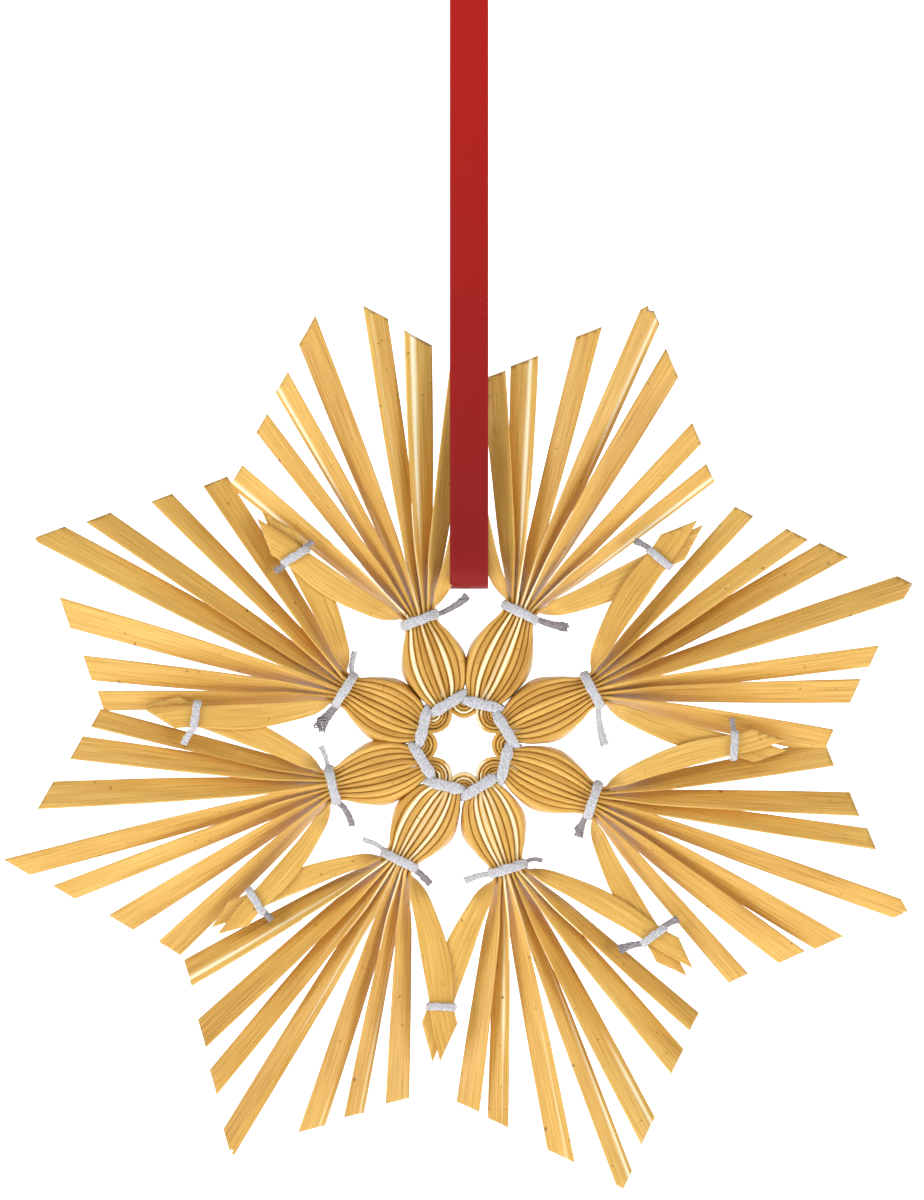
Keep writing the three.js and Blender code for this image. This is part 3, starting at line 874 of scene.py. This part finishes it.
cotton, cotton_nodes, cotton_link, cotton_shader = new_material("white_cotton")
cotton_place = cotton_nodes.new("ShaderNodeTexCoord")
cotton_stretch = cotton_nodes.new("ShaderNodeMapping")
cotton_stretch.inputs["Scale"].default_value = (1.6, 0.7, 1)
cotton_fibre = cotton_nodes.new("ShaderNodeTexNoise")
cotton_fibre.inputs["Scale"].default_value = 3
cotton_fibre.inputs["Detail"].default_value = 4
cotton_tones = colour_steps(
    cotton_nodes,
    (0.36, (0.26, 0.25, 0.29)),
    (0.5, (0.62, 0.62, 0.66)),
    (0.64, (0.86, 0.86, 0.87)),
)
cotton_bump = cotton_nodes.new("ShaderNodeBump")
cotton_bump.inputs["Strength"].default_value = 0.6
cotton_bump.inputs["Distance"].default_value = 0.00008
cotton_link(cotton_place.outputs["UV"], cotton_stretch.inputs["Vector"])
cotton_link(cotton_stretch.outputs["Vector"], cotton_fibre.inputs["Vector"])
cotton_link(cotton_fibre.outputs["Fac"], cotton_tones.inputs["Fac"])
cotton_link(cotton_tones.outputs["Color"], cotton_shader.inputs["Base Color"])
cotton_link(cotton_fibre.outputs["Fac"], cotton_bump.inputs["Height"])
cotton_link(cotton_bump.outputs["Normal"], cotton_shader.inputs["Normal"])
cotton_shader.inputs["Roughness"].default_value = 0.9
cotton_shader.inputs["Specular IOR Level"].default_value = 0.2


def add_strand(yarn, rings, closed, shift):
    """Add one thin strand to a yarn: open with closed ends, or joined into a loop."""
    strand = ring_tube(STRAND_SIDES, len(rings))
    lay_tube(strand, rings, lambda angle, number: (math.cos(angle), math.sin(angle), 0), shift)
    if closed:
        bmesh.ops.remove_doubles(strand, verts=strand.verts, dist=1e-4)
    else:
        close_ends(strand)
    made = bpy.data.meshes.new("strand")
    strand.to_mesh(made)
    strand.free()
    yarn.from_mesh(made)
    bpy.data.meshes.remove(made)


def spin_yarn(yarn, line, strands, thickness, turns, closed=False, fray=0, seed=0):
    """Twist strands about a line of rings. `fray` lets them spread and thin towards the far end,
    and `seed` sets how unevenly they lie.
    """
    for strand in range(strands):
        rings = []
        wander = Vector((strand * 3.7, seed * 5.1, 0))
        for number, (middle, across, deep) in enumerate(line):
            part = number / (len(line) - 1)
            turn = 2 * math.pi * (strand / strands + turns * part)
            inset = 0.72 + 0.28 * noise.noise(Vector((strand * 1.9, seed * 2.3, 0)))
            spread = inset * (1 + fray * part ** 2)
            stray = noise.noise_vector(wander + Vector((0, 0, part * 3))) * fray * part ** 2
            place = middle + across * math.cos(turn) * spread + deep * math.sin(turn) * spread
            place += stray * across.length * 0.8
            size = thickness * (1 - 0.35 * fray * part ** 2 / (1 + fray))
            rings.append((place, across.normalized() * size, deep.normalized() * size))
        if closed:
            rings[-1] = rings[0]
        add_strand(yarn, rings, closed, STRAND_SHIFT * strand)


def banded(stations, count, closed):
    """Rings of a flat band through stations of place, outward direction, width and thickness."""
    line = smooth_line(
        [(at, *outward, wide, thin) for at, outward, wide, thin in stations], count
    )
    rings = []
    last = len(line) - 1
    for number, (at, east, back, up, wide, thin) in enumerate(line):
        if closed:
            before, after = line[(number - 1) % last][0], line[(number + 1) % last][0]
        else:
            before, after = line[max(0, number - 1)][0], line[min(last, number + 1)][0]
        run = (after - before).normalized()
        outward = Vector((east, back, up))
        outward = (outward - run * outward.dot(run)).normalized()
        rings.append((at, outward.cross(run) * wide / 2, outward * thin / 2))
    return rings


def lash_place(angle, radius, deep):
    return STAR_PLACE + RING_MIDDLE + heading(angle) * radius + BACK * deep


def lashing_stations():
    """The yarn's way round the ring, clockwise, twice, and back to its start."""
    front = -BACK
    middle = (LASH_IN + LASH_OUT) / 2 * math.cos(math.radians(FAN_STEP / 2)) + 0.35
    turning = LASH_DEPTH - LASH_THICKNESS
    narrow = LASH_WIDTH * LASH_PINCH
    stations = []
    for petal in (7, 5, 3, 1, 6, 4, 2, 0):
        up = FAN_STEP * (petal + 1)
        down = up - FAN_STEP
        upwards = (quarter_turn(heading(up)) + front).normalized()
        downwards = (front - quarter_turn(heading(down))).normalized()
        for deep in (turning, -turning):
            stations.append((lash_place(up, LASH_IN, deep), upwards, narrow, LASH_THICKNESS))
        for share in (0.14, 0.5, 0.86):
            place = lash_place(up, LASH_IN, 0).lerp(lash_place(down, LASH_OUT, 0), share)
            rise = LASH_DEPTH - (0 if share == 0.5 else LASH_DIP)
            stations.append((place - BACK * rise, front, LASH_WIDTH, LASH_THICKNESS))
        for deep in (-turning, turning):
            stations.append((lash_place(down, LASH_OUT, deep), downwards, narrow, LASH_THICKNESS))
        behind = down - FAN_STEP / 2
        back = lash_place(behind, middle, LASH_DEPTH)
        if petal > 1:
            stations.append((back, front, LASH_WIDTH, LASH_THICKNESS))
        if petal == 1:
            next_back = lash_place(behind - FAN_STEP, middle, LASH_DEPTH)
            stations.append((back + BACK * LASH_THICKNESS, front, narrow, LASH_THICKNESS))
            stations.append((next_back, front, LASH_WIDTH, LASH_THICKNESS))
    return stations + stations[:1]


lashing = bmesh.new()
lashing.loops.layers.uv.new("UVMap")
lash_line = banded(lashing_stations(), LASH_RINGS, True)
spin_yarn(lashing, lash_line, LASH_STRANDS, LASH_STRAND_RADIUS, LASH_TURNS, closed=True)
bmesh.ops.scale(lashing, vec=(MM, MM, MM), verts=lashing.verts)
piece = finished("cotton_ring_lashing", lashing, cotton)
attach(piece, "root")
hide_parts("ring_lashing")


# ---- Petal ties ----
# A broad turn of the same soft yarn gathers each petal. Its ends are cut short at one side or
# both, and they untwist and fray; those in shade are painted grey, as painted shade.
TIE_TURN_STEPS = 24
TIE_TURNS = 2
TAIL_STEPS = 8
TAIL_RINGS = 26
TAIL_STRANDS = 14
TAIL_STRAND_RADIUS = 0.2
TAIL_DRIFT = 0.05
TAIL_SUNK = 0.5
TAIL_FORWARD = 0.3
TAIL_FLATNESS = 0.6
TWIST_LENGTH = 4
PETAL_TAIL_SEED = 20

# A grey copy of the white cotton: painted shade for the loose ends that lie in shadow.
shaded_cotton = cotton.copy()
shaded_cotton.name = "painted_shade_cotton"
shaded_cotton_ramp = next(n for n in shaded_cotton.node_tree.nodes if n.type == "VALTORGB").color_ramp
for element, colour in zip(
    shaded_cotton_ramp.elements, ((0.12, 0.09, 0.09), (0.32, 0.29, 0.31), (0.56, 0.54, 0.57))
):
    element.color = (*colour, 1)


class TieSize:
    """A kind of tie: half the width and depth of its bundle, how square the bundle is, the width
    and thickness of the yarn laid flat, and the rings, strands and strand radius of the yarn.
    """

    def __init__(self, wide, deep, squareness, band, thickness, rings, strands, strand_radius):
        self.wide = wide
        self.deep = deep
        self.squareness = squareness
        self.band = band
        self.thickness = thickness
        self.rings = rings
        self.strands = strands
        self.strand_radius = strand_radius


class Tail:
    """A loose end of a tie: its direction off the bundle's, its length, how far it curls, how
    wide it is, how much it frays, and whether it is painted grey as painted shade.
    """

    def __init__(self, angle, length, curl, width, fray, in_painted_shade):
        self.angle = angle
        self.length = length
        self.curl = curl
        self.width = width
        self.fray = fray
        self.in_painted_shade = in_painted_shade


def tie_line(centre, line, tilt, size):
    """The rings of a tie round a bundle that runs along `line` degrees."""
    side = heading(line + 90)
    ahead = heading(line)
    half = size.thickness / 2
    power = 2 / size.squareness
    stations = []
    for index in range(TIE_TURN_STEPS + 1):
        turn = 2 * math.pi * index / TIE_TURN_STEPS
        aside = rounded(math.cos(turn), power)
        deeper = rounded(math.sin(turn), power)
        place = centre + side * aside * (size.wide + half) + BACK * deeper * (size.deep + half)
        place += ahead * math.tan(math.radians(tilt)) * aside * size.wide
        outward = (side * math.cos(turn) + BACK * math.sin(turn) * 0.8).normalized()
        stations.append((place, outward, size.band, size.thickness))
    return banded(stations, size.rings, True)


def tail_line(start, angle, tail):
    """The rings of a loose end that leaves along `angle` degrees and curls on its way."""
    stations = []
    place = start.copy()
    for step in range(TAIL_STEPS + 1):
        direction = heading(angle + tail.curl * (step / TAIL_STEPS - 0.5) * 2)
        stations.append((place.copy(), -BACK, tail.width, tail.width * TAIL_FLATNESS))
        place += (direction + BACK * TAIL_DRIFT) * tail.length / TAIL_STEPS
    return banded(stations, TAIL_RINGS, False)


def tie_mesh(size, centre, line, tilt, tails, side_reach, seed, tail_seed):
    """One tie with its loose ends, in metres."""
    tie = bmesh.new()
    tie.loops.layers.uv.new("UVMap")
    band = tie_line(centre, line, tilt, size)
    spin_yarn(tie, band, size.strands, size.strand_radius, TIE_TURNS, closed=True, seed=seed)
    side = heading(line + 90)
    for number, tail in enumerate(tails):
        hand = math.copysign(1, tail.angle)
        start = centre + side * hand * (side_reach - TAIL_SUNK) - BACK * TAIL_FORWARD
        first = len(tie.faces)
        spin_yarn(
            tie, tail_line(start, line + tail.angle, tail), TAIL_STRANDS, TAIL_STRAND_RADIUS,
            tail.length / TWIST_LENGTH, fray=tail.fray, seed=tail_seed + number,
        )
        # Loose ends in shadow take the grey copy of the cotton, as painted shade.
        tie.faces.ensure_lookup_table()
        for face in tie.faces[first:]:
            face.material_index = int(tail.in_painted_shade)
    bmesh.ops.scale(tie, vec=(MM, MM, MM), verts=tie.verts)
    return tie


PETAL_TIE = TieSize(2.62, 2.35, 2.6, 1.55, 0.5, 90, 13, 0.19)
PETAL_TIES = {
    "right_upper": (-4, [Tail(-103, 6.3, 12, 0.75, 1.2, False)]),
    "top_right": (4, [Tail(-82, 5.3, 6, 0.9, 0.9, True)]),
    "top_left": (-3, [Tail(-75, 5.8, 14, 0.7, 0.9, True)]),
    "left_upper": (6, [Tail(79, 4.8, 10, 1.2, 1.1, True), Tail(-72, 3.7, -14, 0.6, 0.6, False)]),
    "left_lower": (2, [Tail(104, 4.6, -24, 0.8, 0.3, True), Tail(-84, 3.8, 10, 0.5, 0.5, False)]),
    "bottom_left": (-6, [Tail(79, 3.5, -8, 0.9, 0.3, True), Tail(-83, 4.0, 14, 0.5, 0.5, False)]),
    "bottom_right": (3, [Tail(-92, 4.4, 10, 0.7, 0.6, False), Tail(75, 3.0, -30, 0.4, 0.4, True)]),
    "right_lower": (-5, [Tail(-84, 3.5, 10, 0.8, 1.0, True), Tail(-100, 2.8, -8, 0.6, 1.0, True)]),
}

for fan in fans:
    tilt, tails = PETAL_TIES[fan.name]
    tie = tie_mesh(
        PETAL_TIE, STAR_PLACE + fan.knot, heading_of(fan.petal), tilt, tails,
        PETAL_TIE.wide + PETAL_TIE.thickness, fan.index, PETAL_TAIL_SEED + fan.index,
    )
    piece = finished(f"cotton_petal_tie_{fan.name}", tie, cotton)
    piece.data.materials.append(shaded_cotton)
    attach(piece, "root")
    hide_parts(f"petal_tie_{fan.name}")


# ---- Side ties ----
# A finer turn of the same yarn pulls together the two ends of each innermost straw where they
# cross between the fans. Its own ends are short stubs.
SIDE_TIE = TieSize(1.95, 0.85, 4, 1.25, 0.4, 72, 10, 0.17)
SIDE_TIES = {
    "upper_right": (-8, [Tail(110, 3.0, 10, 0.7, 0.6, True)]),
    "top": (0, []),
    "upper_left": (12, [Tail(80, 2.2, 0, 0.7, 0.4, True), Tail(-95, 1.8, 0, 0.6, 0.4, True)]),
    "left": (4, [Tail(65, 3.2, 10, 0.9, 0.1, False)]),
    "lower_left": (6, [Tail(95, 2.0, 0, 0.8, 0.2, True)]),
    "bottom": (-3, []),
    "lower_right": (8, [Tail(-120, 4.2, 12, 0.8, 1.0, True), Tail(75, 2.8, 0, 0.8, 0.8, True)]),
    "right": (2, [Tail(100, 2.4, 0, 0.5, 0.4, True)]),
}
SIDE_REACH = 2.3
SIDE_SEED = 40
SIDE_TAIL_SEED = 60
tied_depth = sum(TIED_DEPTHS) / 2

for group in groups:
    tilt, tails = SIDE_TIES[group.name]
    tie = tie_mesh(
        SIDE_TIE, STAR_PLACE + group.side_tie + BACK * tied_depth, heading_of(group.side_tie),
        tilt, tails, SIDE_REACH, SIDE_SEED + group.index, SIDE_TAIL_SEED + group.index,
    )
    piece = finished(f"cotton_side_tie_{group.name}", tie, cotton)
    piece.data.materials.append(shaded_cotton)
    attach(piece, "root")
    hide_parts(f"side_tie_{group.name}")
